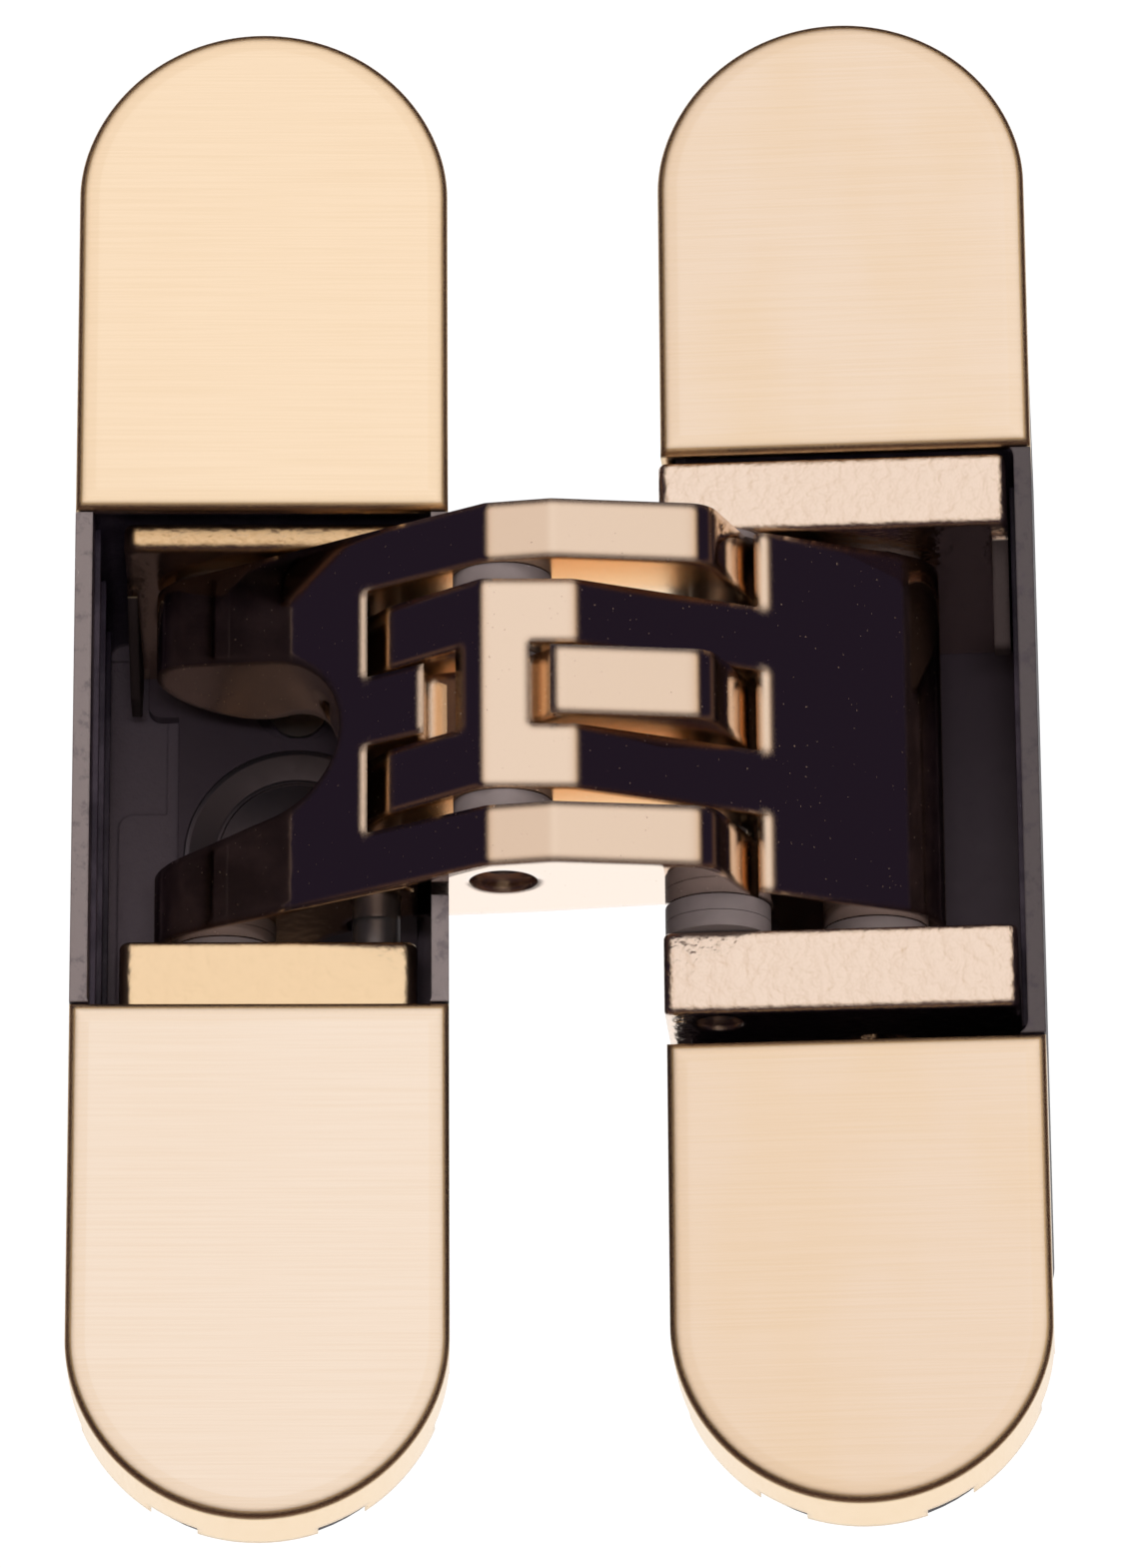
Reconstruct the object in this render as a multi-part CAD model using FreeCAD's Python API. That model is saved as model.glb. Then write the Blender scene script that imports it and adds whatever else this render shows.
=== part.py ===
"""A concealed hinge: two deep housings with cover caps, joined by a scissor linkage.

Lengths are millimetres. The origin is the middle of the front face of the frame side,
X runs across towards the door side, Y runs into the frame and Z runs up.
"""
import math
import os

import FreeCAD
import Part

os.makedirs("parts", exist_ok=True)

Vec = FreeCAD.Vector
UP = Vec(0, 0, 1)
INWARD = Vec(0, 1, 0)

# Both housings
body_width = 28.0
body_length = 117.0
shoulder_radius = 12.0
end_height = 13.5
wall = 1.3
rim_step = 0.35
end_block_depth = 11.0
box_half_length = 35.0
box_corner = 3.0
pocket_corner = 1.2
floor_thickness = 2.2
floor_relief = 0.5
rib_proud = 0.4
rib_width = 1.2
rib_end_gap = 2.0
rib_places = (1 / 7, 3 / 7, 5 / 7)
pad_from_wall = 0.78

# Screws that hold the housings, under the caps
screw_inset = 9.0
screw_hole_radius = 2.6
screw_sink_radius = 4.6
screw_sink_deep = 2.6

# Cover caps
cap_wall = 0.9
cap_face_step = 0.25
cap_depth = 7.5
cap_edge = 0.55
cap_bevel_width = 0.95
cap_bevel_depth = 0.12
cap_gap = 0.15
clip_deep = 1.6
clip_width = 3.4
clip_reach = 3.1
clip_rise = 0.8
clip_height = 4.2

# Opening between the cover caps, and how deep each side reaches
frame_opening = 38.9
door_opening = 46.6
frame_depth = 39.0
door_depth = 33.0

# Where the door side stands when the hinge is shown
gap_open = 16.06
gap_closed = 4.0
door_turn = -4.79
door_set_back = 2.36
door_lift = 1.42

# Middle of the linkage above the middle of the frame side
linkage_height = 3.7

# Pivots, measured from the edge facing the gap and from the front face
frame_pivot_in = 5.4
frame_pivot_deep = 9.2
frame_slide_in = 17.0
frame_slide_deep = 15.5
door_pivot_in = 3.8
door_pivot_deep = 3.3
door_slide_in = 15.4
door_slide_deep = 9.7
centre_out = 4.03
centre_deep = -1.2

# Pins and the parts that turn on them
pin_radius = 1.8
centre_bore = 1.4
centre_bore_deep = 3.0
recess_radius = 2.55
recess_deep = 1.2
run_gap = 0.05
pass_gap = 0.5
stack_gap = 0.05
roller_radius = 2.6
roller_height = 2.2
slot_gap = 0.06
washer_radius = 3.95
centre_washer_radius = 3.7
shim_radius = 2.9
nose_radius = 5.3
knuckle_radius = 3.4
tail_radius = 3.6
stub_seat = 5.0
pin_end_gap = 0.8

# Heights in the stack of the two levers, measured from its middle
stack_half = 14.25
finger_inner = 9.6
arm_outer = 8.2
arm_inner = 3.2
tongue_half = 2.7
frame_washer_top = 1.45
frame_washer_seat = 0.92
frame_seat_gap = 0.2
frame_washer_low = 2.05
door_washer_top = 0.6
door_washer_low = 2.55

# Side view of the outer lever: corners from the centre pin, left or right and front or back
outer_crease_left = 1.3
outer_crease_front = 3.8
outer_peak_right = 3.6
outer_peak_front = 4.8
finger_tip_right = 15.4
finger_tip_front = 3.6
finger_root_right = 11.9
finger_root_back = 5.5
crown_right = 2.4
crown_back = 7.2
crown_left = 7.2
crown_left_back = 8.4
outer_lip_left = 3.5
outer_lip_back = 2.6
finger_tip_radius = 2.6
crease_radius = 0.8

# Front view of the outer lever: window for the inner lever, fork in the frame side
window_left = 0.66
window_floor = 2.6
fork_radius = 6.4
fork_slope = 12.0
fork_left = 12.2
fork_drop = 0.4
tongue_sweep_radius = 5.9
tongue_sweep_start = -200.0
tongue_sweep_end = -47.0

# Side view of the inner lever: corners from the centre pin
inner_crease_left = 1.6
inner_crease_front = 3.9
brow_right = 5.2
brow_front = 3.85
heel_left = 8.5
heel_back = 2.2
inner_lip_right = 3.2
inner_lip_back = 3.1
inner_root_left = 2.4
inner_root_front = 0.9
belly_right = 6.4
belly_back = 5.6
inner_back_right = 0.8
inner_back = 7.4
inner_plate_in = 2.9
inner_plate_edge = 0.7
web_left = 3.6
web_right = 2.0
web_back = 2.2
web_clear_radius = 3.15

# Carriages
frame_block_front = 6.5
frame_block_far = 24.6
frame_block_near = 2.35
frame_block_top = 2.3
frame_cap_overlap = 0.55
block_reveal = 0.12
door_block_front = 0.6
door_block_far = 26.1
door_block_near = -0.2
door_block_ear = 12.0
frame_block_corner = 1.0
door_block_corner = 0.7
block_edge = 0.45
block_rear_corner = 0.3
plate_thickness = 1.3
plate_corner = 1.0
frame_plate_far = 21.2
frame_wing_far = 23.6
frame_wing_height = 5.4
floor_gap = 0.1
side_gap = 0.3
pocket_gap = 1.1

# Gusset cheeks under the far ends of the upper blocks
frame_cheek_thickness = 0.75
frame_cheek_front = 14.0
frame_cheek_low_front = 24.5
frame_cheek_low_back = 29.0
frame_cheek_back = 33.0
frame_cheek_drop = 5.5
door_cheek_thickness = 1.2
door_cheek_front = 3.2
door_cheek_low_back = 5.0
door_cheek_back = 22.0
door_cheek_drop = 9.0
cheek_corner = 1.2

# Adjustment: discs with an eccentric pin, clamp screws in long holes
side_travel = 0.8
height_down = 0.3
height_up = 2.0
travel_gap = 0.4
frame_disc_radius = 8.9
frame_throw = 2.0
frame_clamp_rise = 12.4
door_disc_radius = 6.2
door_throw = 3.6
door_clamp_rise = 11.0
disc_rim = 0.35
disc_slope = 2.0
disc_dish = 0.5
disc_lip = 0.3
disc_lip_height = 0.25
disc_socket = 4.0
disc_socket_deep = 0.95
throw_pin_radius = 1.0
throw_pin_gap = 0.2
throw_slot_reach = 1.0
throw_pin_end_gap = 0.7
clamp_head_radius = 2.3
clamp_head_deep = 0.7
clamp_shank_radius = 1.2
clamp_gap = 0.15
clamp_socket = 2.0
clamp_socket_deep = 0.5
tab_width = 5.0
tab_from_end = 4.5
tab_inset = 0.4

# Cutters reach this far past what they cut, joined shapes this far into each other
over = 1.0
bite = 0.01
same = 1e-6

half_width = body_width / 2
half_length = body_length / 2
side_z = half_length - end_height
screw_z = half_length - screw_inset
frame_mid = linkage_height
door_mid = linkage_height - door_lift
frame_block_top_in = stack_half + frame_washer_top - frame_washer_seat
frame_block_top_out = frame_block_top_in + frame_block_top
frame_block_low_in = stack_half + frame_washer_low
frame_block_low_out = frame_opening / 2 + frame_mid - frame_cap_overlap
door_block_top_in = stack_half + door_washer_top
door_block_top_out = door_opening / 2 - door_mid - height_down - block_reveal
door_block_low_in = stack_half + door_washer_low
door_block_low_out = door_opening / 2 + door_mid - height_up - travel_gap


# Plane outlines
def arc_between(centre, radius, start_deg, end_deg):
    """Arc of a circle in the XY plane from one angle to another."""
    def spot(deg):
        a = math.radians(deg)
        return Vec(centre[0] + radius * math.cos(a), centre[1] + radius * math.sin(a), 0)
    return Part.Arc(spot(start_deg), spot((start_deg + end_deg) / 2), spot(end_deg)).toShape()


def rounded_outline(corners):
    """Closed wire through corners (x, y, radius) in the XY plane, each corner rounded."""
    starts = []
    ends = []
    mids = []
    count = len(corners)
    for i in range(count):
        x, y, radius = corners[i]
        here = Vec(x, y, 0)
        before = Vec(corners[i - 1][0], corners[i - 1][1], 0) - here
        after = Vec(corners[(i + 1) % count][0], corners[(i + 1) % count][1], 0) - here
        before.normalize()
        after.normalize()
        half = before.getAngle(after) / 2
        if radius <= 0 or math.cos(half) < bite:
            starts.append(here)
            ends.append(here)
            mids.append(None)
            continue
        reach = radius / math.tan(half)
        bisector = before + after
        bisector.normalize()
        starts.append(here + before * reach)
        ends.append(here + after * reach)
        mids.append(here + bisector * (radius / math.sin(half) - radius))
    edges = []
    for i in range(count):
        if mids[i] is not None:
            edges.append(Part.Arc(starts[i], mids[i], ends[i]).toShape())
        following = starts[(i + 1) % count]
        if (following - ends[i]).Length > same:
            edges.append(Part.makeLine(ends[i], following))
    return Part.Wire(edges)


def prism(wire, low, high):
    """Solid of an XY outline between two heights."""
    solid = Part.Face(wire).extrude(UP * (high - low))
    solid.translate(UP * low)
    return solid


def lying(wire, front, back):
    """Solid of an outline drawn in XY, stood up into the XZ plane between two depths."""
    solid = Part.Face(wire).extrude(UP * (back - front))
    solid.rotate(Vec(0, 0, 0), Vec(1, 0, 0), 90)
    solid.translate(INWARD * back)
    return solid


def round_post(centre, radius, low, high):
    """Upright cylinder."""
    return Part.makeCylinder(radius, high - low, Vec(centre[0], centre[1], low), UP)


def tube(centre, outer, inner, low, high):
    """Upright cylinder with a bore."""
    bore = round_post(centre, inner, low - over, high + over)
    return round_post(centre, outer, low, high).cut(bore)


def block(x1, x2, y1, y2, z1, z2):
    """Box between two corners."""
    return Part.makeBox(x2 - x1, y2 - y1, z2 - z1, Vec(x1, y1, z1))


def fused(shapes):
    """One solid from several that touch or overlap."""
    return shapes[0].multiFuse(shapes[1:]).removeSplitter()


def tangent_spot(point, centre, radius, side):
    """Where the line from a point touches a circle, on the left (1) or right (-1)."""
    dx = point[0] - centre[0]
    dy = point[1] - centre[1]
    spread = math.acos(radius / math.hypot(dx, dy))
    a = math.atan2(dy, dx) + side * spread
    return (centre[0] + radius * math.cos(a), centre[1] + radius * math.sin(a))


# The linkage: pivots as shown, and how far each joint turns until the hinge is closed
def turned(point, about, deg):
    """A plane point turned about another."""
    a = math.radians(deg)
    dx = point[0] - about[0]
    dy = point[1] - about[1]
    x = about[0] + dx * math.cos(a) - dy * math.sin(a)
    y = about[1] + dx * math.sin(a) + dy * math.cos(a)
    return (x, y)


def door_to_world(point):
    """A plane point of the door side, as the hinge is shown."""
    corner = (half_width + gap_open, door_set_back)
    shifted = (point[0] + half_width + corner[0], point[1] + corner[1])
    return turned(shifted, corner, door_turn)


def heading(start, end):
    """Direction from one point to another in degrees."""
    return math.degrees(math.atan2(end[1] - start[1], end[0] - start[0]))


frame_pivot = (half_width - frame_pivot_in, frame_pivot_deep)
frame_slide = (half_width - frame_slide_in, frame_slide_deep)
centre_pivot = (half_width + centre_out, centre_deep)
door_pivot_own = (door_pivot_in - half_width, door_pivot_deep)
door_slide_own = (door_slide_in - half_width, door_slide_deep)
door_pivot = door_to_world(door_pivot_own)
door_slide = door_to_world(door_slide_own)

door_pivot_closed = (-door_pivot_own[0], -gap_closed - door_pivot_own[1])
short_reach = math.dist(frame_pivot, centre_pivot)
long_reach = math.dist(door_pivot, centre_pivot)
span = math.dist(frame_pivot, door_pivot_closed)
along = (short_reach**2 - long_reach**2 + span**2) / (2 * span)
across = math.sqrt(short_reach**2 - along**2)
way_x = (door_pivot_closed[0] - frame_pivot[0]) / span
way_y = (door_pivot_closed[1] - frame_pivot[1]) / span
centre_closed = (
    frame_pivot[0] + along * way_x + across * way_y,
    frame_pivot[1] + along * way_y - across * way_x,
)
inner_turn = heading(frame_pivot, centre_closed) - heading(frame_pivot, centre_pivot)
outer_turn = heading(centre_closed, door_pivot_closed) - heading(centre_pivot, door_pivot)
door_swing = -180.0 - door_turn
flat_share = door_turn / door_swing
slot_bend_share = 0.1
slot_end_share = 0.01
slot_bend_posts = 4
slot_steps = 16


def centre_at(share):
    """Centre pin when a share of the closing movement is done."""
    return turned(centre_pivot, frame_pivot, inner_turn * share)


def frame_slide_at(share):
    """Slide pin in the frame side when a share of the closing movement is done."""
    moved = centre_at(share)
    start = turned(frame_slide, centre_pivot, outer_turn * share)
    return (start[0] + moved[0] - centre_pivot[0], start[1] + moved[1] - centre_pivot[1])


def door_slide_at(share):
    """Slide pin in the door side's own plane when a share of the closing is done."""
    pin = turned(door_slide, centre_pivot, inner_turn * share)
    pivot = turned(door_pivot, centre_pivot, outer_turn * share)
    apart = (pin[0] - pivot[0] + door_pivot_own[0], pin[1] - pivot[1] + door_pivot_own[1])
    return turned(apart, door_pivot_own, -door_turn - door_swing * share)


def slot_cutter(path, radius, low, high):
    """Solid of a curved slot, with the short tight bend at its open end."""
    start = -flat_share - slot_end_share
    step = (slot_bend_share - start) / slot_bend_posts
    posts = [round_post(path(start + step * i), radius, low, high) for i in range(slot_bend_posts)]
    return fused([prism(slot_outline(path, radius), low, high)] + posts)


def slot_outline(path, radius):
    """Closed outline of a curved slot that a round pin sweeps along a path."""
    first = slot_bend_share
    step = (1 + slot_end_share - first) / slot_steps
    middle = [path(first + step * i) for i in range(slot_steps + 1)]
    left = []
    right = []
    for i in range(slot_steps + 1):
        ahead = middle[min(i + 1, slot_steps)]
        behind = middle[max(i - 1, 0)]
        length = math.dist(ahead, behind)
        nx = -(ahead[1] - behind[1]) / length * radius
        ny = (ahead[0] - behind[0]) / length * radius
        left.append(Vec(middle[i][0] + nx, middle[i][1] + ny, 0))
        right.append(Vec(middle[i][0] - nx, middle[i][1] - ny, 0))
    side_one = Part.BSplineCurve()
    side_one.interpolate(left)
    side_two = Part.BSplineCurve()
    side_two.interpolate(right)
    start_tip = Vec(middle[0][0], middle[0][1], 0) + end_tip_shift(middle[1], middle[0], radius)
    end_tip = Vec(middle[-1][0], middle[-1][1], 0) + end_tip_shift(middle[-2], middle[-1], radius)
    start_cap = Part.Arc(left[0], start_tip, right[0]).toShape()
    end_cap = Part.Arc(left[-1], end_tip, right[-1]).toShape()
    return Part.Wire([side_one.toShape(), end_cap, side_two.toShape(), start_cap])


def end_tip_shift(inside, end, radius):
    """Step from the last middle point to the tip of a slot's round end."""
    length = math.dist(inside, end)
    return Vec((end[0] - inside[0]) / length * radius, (end[1] - inside[1]) / length * radius, 0)


def on_door(shape):
    """Moves a shape made in the door side's own frame to where the door side stands."""
    moved = shape.copy()
    moved.translate(Vec(half_width, 0, 0))
    moved.rotate(Vec(0, 0, 0), UP, door_turn)
    moved.translate(Vec(half_width + gap_open, door_set_back, door_lift))
    return moved


# Housing outline with its two arched ends, in the XZ plane
def arch_radius(half, height, shoulder):
    """Radius of the flat top arc that runs smoothly into both shoulder arcs."""
    rise = height - shoulder
    return (height**2 + (half - shoulder) ** 2 - shoulder**2) / (2 * rise)


def arched_wire(inset, z_low, z_high):
    """Body outline moved inwards by inset and cut straight where a limit is given."""
    half = half_width - inset
    shoulder = shoulder_radius - inset
    height = end_height - inset
    top = arch_radius(half, height, shoulder)
    reach = math.hypot(half - shoulder, top - height)
    touch_x = (half - shoulder) / reach * top
    touch_z = side_z + height - top + (top - height) / reach * top

    def end_arcs(sign):
        mid = math.atan2(touch_z - side_z, touch_x - (half - shoulder)) / 2
        mid_x = half - shoulder + shoulder * math.cos(mid)
        mid_z = side_z + shoulder * math.sin(mid)
        right = Part.Arc(
            Vec(half, 0, sign * side_z),
            Vec(mid_x, 0, sign * mid_z),
            Vec(touch_x, 0, sign * touch_z),
        )
        crown = Part.Arc(
            Vec(touch_x, 0, sign * touch_z),
            Vec(0, 0, sign * (side_z + height)),
            Vec(-touch_x, 0, sign * touch_z),
        )
        left = Part.Arc(
            Vec(-touch_x, 0, sign * touch_z),
            Vec(-mid_x, 0, sign * mid_z),
            Vec(-half, 0, sign * side_z),
        )
        return [right.toShape(), crown.toShape(), left.toShape()]

    high_z = side_z if z_high is None else z_high
    low_z = -side_z if z_low is None else z_low
    edges = []
    if z_high is None:
        edges += end_arcs(1)
    else:
        edges.append(Part.makeLine(Vec(half, 0, high_z), Vec(-half, 0, high_z)))
    edges.append(Part.makeLine(Vec(-half, 0, high_z), Vec(-half, 0, low_z)))
    if z_low is None:
        edges += end_arcs(-1)
    else:
        edges.append(Part.makeLine(Vec(-half, 0, low_z), Vec(half, 0, low_z)))
    edges.append(Part.makeLine(Vec(half, 0, low_z), Vec(half, 0, high_z)))
    return Part.Wire(Part.__sortEdges__(edges))


def slab(wire, front, back):
    """Solid of an XZ outline between two depths."""
    solid = Part.Face(wire).extrude(INWARD * (back - front))
    solid.translate(INWARD * front)
    return solid


# Cover caps
def cover_cap(opening, upwards):
    """Thin shell over one end of a housing, bevelled face, rounded edge and clip notches."""
    inner_z = opening / 2
    outer = slab(arched_wire(0, inner_z, None), 0, cap_depth)
    front_edges = []
    for edge in outer.Edges:
        if edge.BoundBox.YMax < same:
            front_edges.append(edge)
    outer = outer.makeChamfer(cap_bevel_depth, cap_edge + cap_bevel_width, front_edges)
    rim = []
    for edge in outer.Edges:
        box = edge.BoundBox
        if box.YMin > same and box.YMax < cap_bevel_depth + same and box.YLength < same:
            rim.append(edge)
    outer = outer.makeFillet(cap_edge, rim)
    hollow_wire = arched_wire(cap_wall, inner_z - over, None)
    outer = outer.cut(slab(hollow_wire, cap_wall + cap_face_step, cap_depth + over))
    notch_top = cap_depth - clip_deep
    clip_x = half_width / 2 - cap_wall
    low = side_z + clip_rise
    for sign in (-1, 1):
        x1 = sign * clip_x - clip_width / 2
        crown_notch = block(x1, x1 + clip_width, notch_top, cap_depth + over, side_z, half_length + over)
        near = sign * (half_width - clip_reach)
        far = sign * (half_width + over)
        side_notch = block(
            min(near, far), max(near, far), notch_top, cap_depth + over, low, low + clip_height,
        )
        outer = outer.cut(crown_notch).cut(side_notch)
    if not upwards:
        outer = outer.mirror(Vec(0, 0, 0), UP)
    return outer


# Housings
def housing(depth, opening, pocket_low, pocket_high, gap_sign, notch_deep, notch_low, notch_high):
    """Deep shell with end blocks under the caps, a pocket and a notch for the linkage."""
    cap_back = cap_wall + cap_face_step + cap_gap
    front_part = slab(arched_wire(cap_wall + cap_gap, None, None), cap_back, end_block_depth)
    box_wire = rounded_outline([
        (-half_width, -box_half_length, box_corner),
        (half_width, -box_half_length, box_corner),
        (half_width, box_half_length, box_corner),
        (-half_width, box_half_length, box_corner),
    ])
    deep_box = lying(box_wire, cap_depth + cap_gap, depth)
    mid_z = opening / 2 - cap_gap
    middle = block(-half_width, half_width, rim_step, depth, -mid_z, mid_z)
    shell = fused([front_part, deep_box, middle])
    wall_x = half_width - wall
    pocket = block(-wall_x, wall_x, -over, depth - floor_thickness, pocket_low, pocket_high)
    upright = [e for e in pocket.Edges if e.BoundBox.YLength > depth / 2]
    pocket = pocket.makeFillet(pocket_corner, upright)
    shell = shell.cut(pocket)
    near = gap_sign * (half_width + over)
    inner = gap_sign * (wall_x - over / 2)
    notch = block(min(near, inner), max(near, inner), -over, notch_deep, notch_low, notch_high)
    shell = shell.cut(notch)
    for sign in (-1, 1):
        hole = Part.makeCylinder(screw_hole_radius, depth, Vec(0, -over, sign * screw_z), INWARD)
        sink_start = Vec(0, cap_back - bite, sign * screw_z)
        sink = Part.makeCone(screw_sink_radius, screw_hole_radius, screw_sink_deep, sink_start, INWARD)
        shell = shell.cut(hole).cut(sink)
    root = -gap_sign * (wall_x + bite)
    tip = -gap_sign * (wall_x - rib_proud)
    ribs = []
    for place in rib_places:
        y = depth * place
        ribs.append(block(min(root, tip), max(root, tip), y, y + rib_width,
                          pocket_low + rib_end_gap, pocket_high - rib_end_gap))
    return fused([shell] + ribs)


frame_pocket_low = frame_mid - frame_block_low_out - pocket_gap
frame_pocket_high = frame_mid + frame_block_top_out + pocket_gap
door_pocket_low = door_mid - door_block_low_out - height_up - travel_gap
door_pocket_high = door_mid + door_block_top_out + height_down + travel_gap

frame_housing = housing(
    frame_depth, frame_opening, frame_pocket_low, frame_pocket_high, 1,
    frame_pivot_deep + tail_radius + 2 * pass_gap,
    frame_mid - stack_half - pass_gap, frame_mid + stack_half + pass_gap,
)
door_housing = housing(
    door_depth, door_opening, door_pocket_low, door_pocket_high, -1,
    door_block_ear + travel_gap, door_pocket_low, door_pocket_high,
)

# Recess in the frame housing's floor beside the slide plate, round a low cast pad
wall_x = half_width - wall
frame_floor = frame_depth - floor_thickness
frame_plate_left = half_width - frame_plate_far
pad_left = -wall_x + pad_from_wall
pad_top = frame_mid + arm_outer / 2
relief_right = frame_plate_left - side_travel - floor_gap
relief = block(
    -wall_x + bite, relief_right, frame_floor - over, frame_floor + floor_relief,
    frame_pocket_low + pocket_corner, frame_pocket_high - pocket_corner,
)
pad = lying(rounded_outline([
    (pad_left, frame_pocket_low, 0),
    (relief_right + over, frame_pocket_low, 0),
    (relief_right + over, pad_top, 0),
    (pad_left, pad_top, pocket_corner),
]), frame_floor, frame_depth)
frame_housing = frame_housing.cut(relief.cut(pad))


# Carriages: two slotted blocks staked into a plate that lies on the pocket floor
def tab_places(x1, x2):
    """Middles of the two tabs on the rear edge of a block."""
    return (x1 + tab_from_end, x2 - tab_from_end)


def carriage_block(x1, x2, corner, front, back, z1, z2, path, hole, ear, ear_back, tab_from):
    """Thick plate with rounded front corners, a curved slot, a pivot hole and rear tabs."""
    rear = block_rear_corner
    corners = [(x1, front, corner), (x2, front, corner), (x2, back, rear), (x1 + ear, back, rear)]
    if ear > 0:
        corners += [(x1 + ear, ear_back, 0), (x1, ear_back, block_edge)]
    solid = prism(rounded_outline(corners), z1, z2)
    front_edges = []
    for edge in solid.Edges:
        box = edge.BoundBox
        if box.YMax < front + corner + same and box.ZLength < same:
            front_edges.append(edge)
    solid = solid.makeFillet(block_edge, front_edges)
    solid = solid.cut(slot_cutter(path, roller_radius + slot_gap, z1 - over, z2 + over))
    tabs = []
    for x in tab_places(tab_from, x2):
        tabs.append(block(x - tab_width / 2, x + tab_width / 2, back - block_edge,
                          back + plate_thickness, z1 + tab_inset, z2 - tab_inset))
    solid = fused([solid] + tabs)
    return solid.cut(round_post(hole, pin_radius, z1 - over, z2 + over))


def cheek(x1, x2, corners):
    """Upright plate under a block, from an outline (depth, height, radius)."""
    solid = Part.Face(rounded_outline(corners)).extrude(UP * (x2 - x1))
    solid.rotate(Vec(0, 0, 0), Vec(1, 1, 1), 120)
    solid.translate(Vec(x1, 0, 0))
    return solid


frame_back = frame_depth - floor_thickness - floor_gap - plate_thickness
frame_x1 = half_width - frame_block_far
frame_x2 = half_width - frame_block_near
frame_top_under = frame_mid + frame_block_top_in
frame_upper_block = carriage_block(
    frame_x1, frame_x2, frame_block_corner, frame_block_front, frame_back,
    frame_top_under, frame_mid + frame_block_top_out,
    frame_slide_at, frame_pivot, 0, 0, frame_plate_left,
)
seat_radius = washer_radius + frame_seat_gap
seat_low = frame_top_under - over
seat = slot_cutter(frame_slide_at, seat_radius, seat_low, frame_top_under + frame_washer_seat)
frame_upper_block = frame_upper_block.cut(seat)
frame_cheek = cheek(frame_x1, frame_x1 + frame_cheek_thickness, [
    (frame_cheek_front, frame_top_under + block_edge, 0),
    (frame_cheek_low_front, frame_top_under - frame_cheek_drop, cheek_corner),
    (frame_cheek_low_back, frame_top_under - frame_cheek_drop, cheek_corner),
    (frame_cheek_back, frame_top_under + block_edge, 0),
])
frame_upper_block = fused([frame_upper_block, frame_cheek])
frame_lower_block = carriage_block(
    frame_x1, frame_x2, frame_block_corner, frame_block_front, frame_back,
    frame_mid - frame_block_low_out, frame_mid - frame_block_low_in,
    frame_slide_at, frame_pivot, 0, 0, frame_plate_left,
)

door_back = door_depth - floor_thickness - floor_gap - plate_thickness
door_ear = wall + side_gap - door_block_near
door_x1 = door_block_near - half_width
door_x2 = door_block_far - half_width
door_top_under = door_mid + door_block_top_in
door_upper_block = carriage_block(
    door_x1, door_x2, door_block_corner, door_block_front, door_back,
    door_top_under, door_mid + door_block_top_out,
    door_slide_at, door_pivot_own, door_ear, door_block_ear, door_x1 + door_ear,
)
door_cheek = cheek(door_x2 - door_cheek_thickness, door_x2, [
    (door_cheek_front, door_top_under + block_edge, 0),
    (door_cheek_front, door_top_under - door_cheek_drop, block_edge),
    (door_cheek_low_back, door_top_under - door_cheek_drop, block_edge),
    (door_cheek_back, door_top_under + block_edge, 0),
])
door_upper_block = fused([door_upper_block, door_cheek])
door_lower_block = carriage_block(
    door_x1, door_x2, door_block_corner, door_block_front, door_back,
    door_mid - door_block_low_out, door_mid - door_block_low_in,
    door_slide_at, door_pivot_own, door_ear, door_block_ear, door_x1 + door_ear,
)


# Outer lever: three fingers towards the door, forked end in the frame side
def outer_outline(low, high):
    """Whole side view of the outer lever between two heights."""
    cx, cy = centre_pivot
    px, py = frame_pivot
    bx, by = door_pivot
    crease = (cx - outer_crease_left, cy - outer_crease_front)
    finger_tip = (cx + finger_tip_right, cy - finger_tip_front)
    nose_front = tangent_spot(crease, frame_slide, nose_radius, -1)
    lip = (px - outer_lip_left, py + outer_lip_back)
    nose_back = tangent_spot(lip, frame_slide, nose_radius, 1)
    flank = tangent_spot(finger_tip, door_pivot, knuckle_radius, 1)
    corners = [
        (nose_front[0], nose_front[1], 0),
        (crease[0], crease[1], crease_radius),
        (cx + outer_peak_right, cy - outer_peak_front, 0),
        (finger_tip[0], finger_tip[1], finger_tip_radius),
        (flank[0], flank[1], 0),
        (bx, by + pass_gap, 0),
        (cx + finger_root_right, cy + finger_root_back, crease_radius),
        (cx + crown_right, cy + crown_back, 0),
        (cx - crown_left, cy + crown_left_back, crease_radius),
        (lip[0], lip[1], crease_radius),
        (nose_back[0], nose_back[1], 0),
        (frame_slide[0], frame_slide[1], 0),
    ]
    body = prism(rounded_outline(corners), low, high)
    knuckle = round_post(door_pivot, knuckle_radius, low, high)
    nose = round_post(frame_slide, nose_radius, low, high)
    solid = fused([body, knuckle, nose])
    return solid.cut(round_post(frame_pivot, pin_radius + pass_gap, low - over, high + over))


def centre_sector(radius, start_deg, end_deg, low, high):
    """Upright wedge of a disc about the centre pin."""
    rim = arc_between(centre_pivot, radius, start_deg, end_deg)
    middle = Vec(centre_pivot[0], centre_pivot[1], 0)
    first = rim.firstVertex().Point
    last = rim.lastVertex().Point
    wire = Part.Wire([Part.makeLine(middle, first), rim, Part.makeLine(last, middle)])
    return prism(wire, low, high)


def bored(solid, centre, radius, seat_radius):
    """Through bore for a pin that passes the whole stack, or two blind seats for stub pins."""
    low = linkage_height - stack_half - over
    high = linkage_height + stack_half + over
    if seat_radius is None:
        return solid.cut(round_post(centre, radius, low, high))
    top_seat = round_post(centre, seat_radius, high - over - stub_seat, high)
    low_seat = round_post(centre, seat_radius, low, low + over + stub_seat)
    return solid.cut(top_seat).cut(low_seat)


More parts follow.
